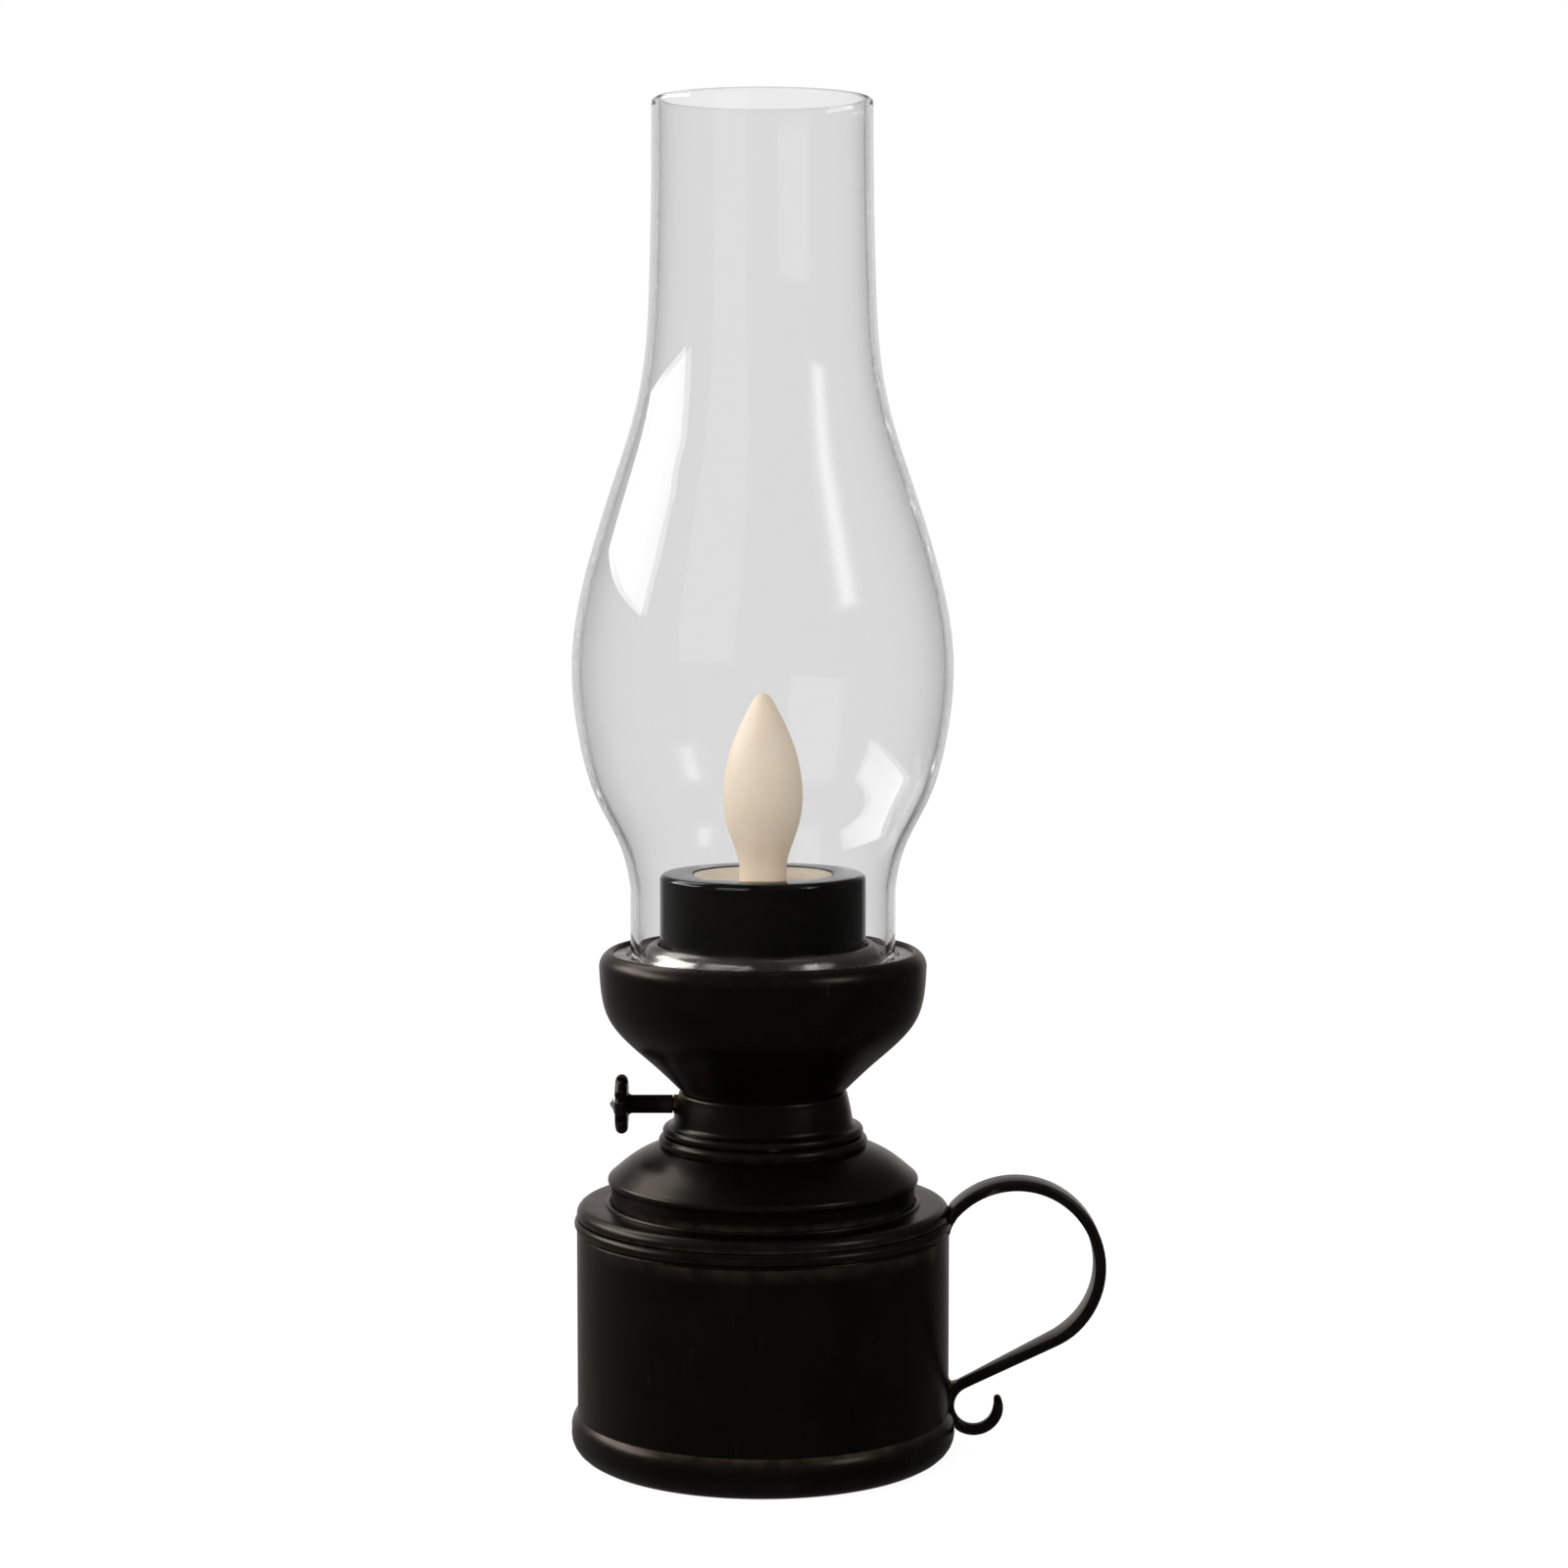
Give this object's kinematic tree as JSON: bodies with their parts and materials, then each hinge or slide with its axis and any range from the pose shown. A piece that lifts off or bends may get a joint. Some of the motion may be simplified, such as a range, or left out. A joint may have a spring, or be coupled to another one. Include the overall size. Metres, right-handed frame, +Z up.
{
  "type": "oil lamp",
  "caption": "Table oil lamp with a drum base, finger-loop handle, side knob, flared bowl and glass chimney over an electric flame candle.",
  "frame": {"origin": "on the lamp's axis, in the plane that the base pan stands on", "axes": "+Z up along the lamp's axis, +X towards the handle, -X towards the knob"},
  "size_m": [0.1098, 0.079, 0.275],
  "materials": {
    "body_black": "satin near-black paint with a faint warm tone",
    "tray_gloss_black": "gloss black enamel",
    "clear_glass": "clear blown glass, slightly wavy",
    "candle_gloss_black": "moulded, polished",
    "flame_cream": "moulded translucent cream, matt",
    "bright_steel": "plain plated steel",
    "bush_brass": "turned",
    "inner_plastic": "moulded",
    "board_green": "solder mask",
    "led_lens": "clear amber epoxy"
  },
  "bodies": {
    "lamp_body": {"base_pan": "body_black", "drum_wall": "body_black", "drum_top": "body_black", "dome_shoulder": "body_black", "neck_collar": "body_black", "gallery_bowl": "body_black", "candle_tray": "tray_gloss_black", "tie_bolt": "bright_steel", "bolt_washer": "bright_steel", "bolt_nut": "bright_steel", "spindle_bush": "bush_brass", "handle_strip": "body_black", "handle_solder": "body_black"},
    "chimney": {"glass_chimney": "clear_glass"},
    "candle": {"candle_shell": "candle_gloss_black", "flame_dish": "flame_cream", "flame_cover": "flame_cream", "candle_base_cover": "candle_gloss_black", "battery_door": "candle_gloss_black", "door_screw": "bright_steel", "cover_screws": "bright_steel", "battery_cradle": "inner_plastic", "coin_cell": "bright_steel", "contact_negative": "bright_steel", "contact_positive": "bright_steel", "circuit_board": "board_green", "board_screws": "bright_steel", "flicker_chip": "inner_plastic", "led_emitter": "led_lens", "led_leads": "bright_steel", "switch_body": "inner_plastic"},
    "knob": {"knob_spindle": "body_black", "spindle_clip": "bright_steel", "knob_wheel": "body_black", "knob_cap": "bright_steel"},
    "switch": {"switch_slider": "inner_plastic"}
  },
  "joints": [
    {"name": "chimney_lift", "type": "slide", "parent": "lamp_body", "child": "chimney", "axis": [0, 0, 1], "range_m": [0, 0.075]},
    {"name": "candle_lift", "type": "slide", "parent": "lamp_body", "child": "candle", "axis": [0, 0, 1], "range_m": [0, 0.035]},
    {"name": "knob_turn", "type": "hinge", "parent": "lamp_body", "child": "knob", "pos_m": [-0.02, 0, 0.0718], "axis": [-1, 0, 0], "continuous": true},
    {"name": "switch_slide", "type": "slide", "parent": "candle", "child": "switch", "axis": [0, 1, 0], "range_m": [0, 0.0025]}
  ]
}
